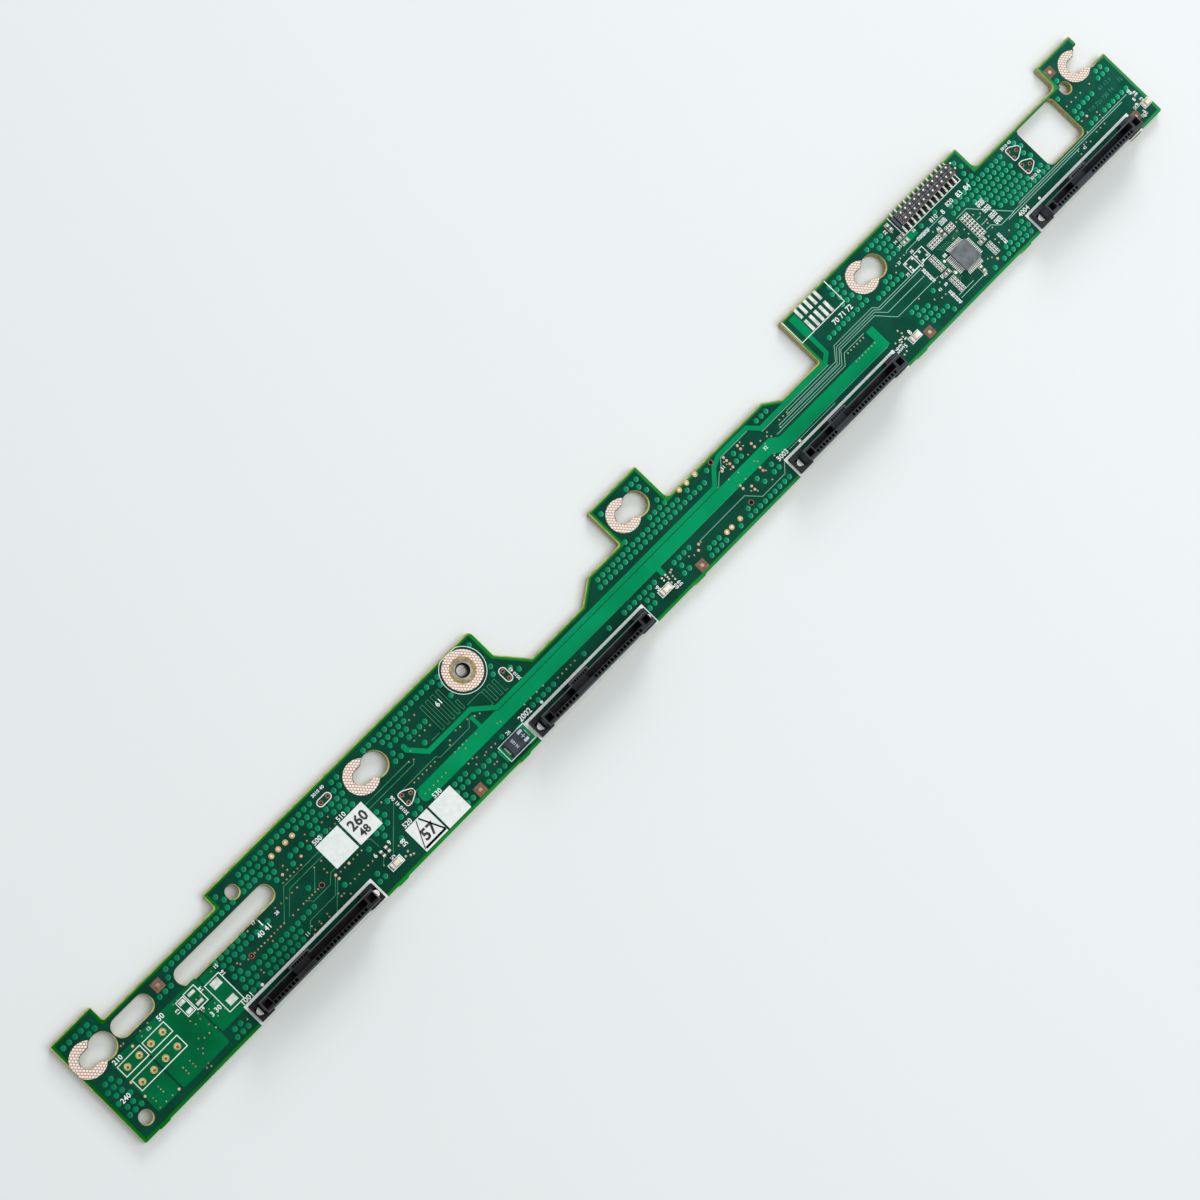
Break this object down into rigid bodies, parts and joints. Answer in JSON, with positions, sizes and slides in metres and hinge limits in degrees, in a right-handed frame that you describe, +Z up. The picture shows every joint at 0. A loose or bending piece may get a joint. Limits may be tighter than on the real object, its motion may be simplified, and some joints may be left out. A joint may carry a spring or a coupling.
{
  "type": "drive backplane board",
  "caption": "Long narrow green circuit board with vertical drive receptacles, a pin header, keyhole mounts and a window.",
  "frame": {"origin": "on the underside, in the middle of the board's bounding box", "axes": "+X along the board from the power inlet end to the window end, +Y towards the edge with the keyholes, +Z up out of the component side"},
  "size_m": [0.4164, 0.0354, 0.0103],
  "materials": {
    "solder_mask": "glossy dark green mask on laminate",
    "mask_over_foil": "glossy brighter green mask on copper",
    "black_plastic": "matte black moulding",
    "header_plastic": "matte grey moulding",
    "chip_epoxy": "matte moulded epoxy",
    "capacitor_epoxy": "matte moulded epoxy",
    "resistor_film": "dark coated film",
    "ceramic_body": "fired ceramic",
    "led_lens": "clear yellowish lens",
    "contact_metal": "plated copper alloy",
    "pin_metal": "tin plated pins",
    "tinned_foil": "solder coated copper",
    "plated_copper": "gold coloured plating",
    "steel": "turned metal",
    "white_ink": "matt white print"
  },
  "bodies": {
    "root": {"board": "solder_mask", "bulk_capacitor": "capacitor_epoxy", "bulk_capacitor_terminals": "contact_metal", "bus_copper": "mask_over_foil", "ceramic_capacitors": "ceramic_body", "chip_resistors": "resistor_film", "controller_chip": "chip_epoxy", "controller_chip_leads": "contact_metal", "drive_led_0": "led_lens", "drive_led_1": "led_lens", "drive_led_2": "led_lens", "drive_led_3": "led_lens", "guide_bush": "steel", "guide_pin": "steel", "header_housing": "header_plastic", "header_pins_inner": "pin_metal", "header_pins_outer": "pin_metal", "plated_barrels": "plated_copper", "printed_legend": "white_ink", "receptacle_hold_downs_0": "contact_metal", "receptacle_hold_downs_1": "contact_metal", "receptacle_hold_downs_2": "contact_metal", "receptacle_hold_downs_3": "contact_metal", "receptacle_housing_0": "black_plastic", "receptacle_housing_1": "black_plastic", "receptacle_housing_2": "black_plastic", "receptacle_housing_3": "black_plastic", "receptacle_power_contacts_0": "contact_metal", "receptacle_power_contacts_1": "contact_metal", "receptacle_power_contacts_2": "contact_metal", "receptacle_power_contacts_3": "contact_metal", "receptacle_signal_contacts_0": "contact_metal", "receptacle_signal_contacts_1": "contact_metal", "receptacle_signal_contacts_2": "contact_metal", "receptacle_signal_contacts_3": "contact_metal"}
  },
  "joints": []
}
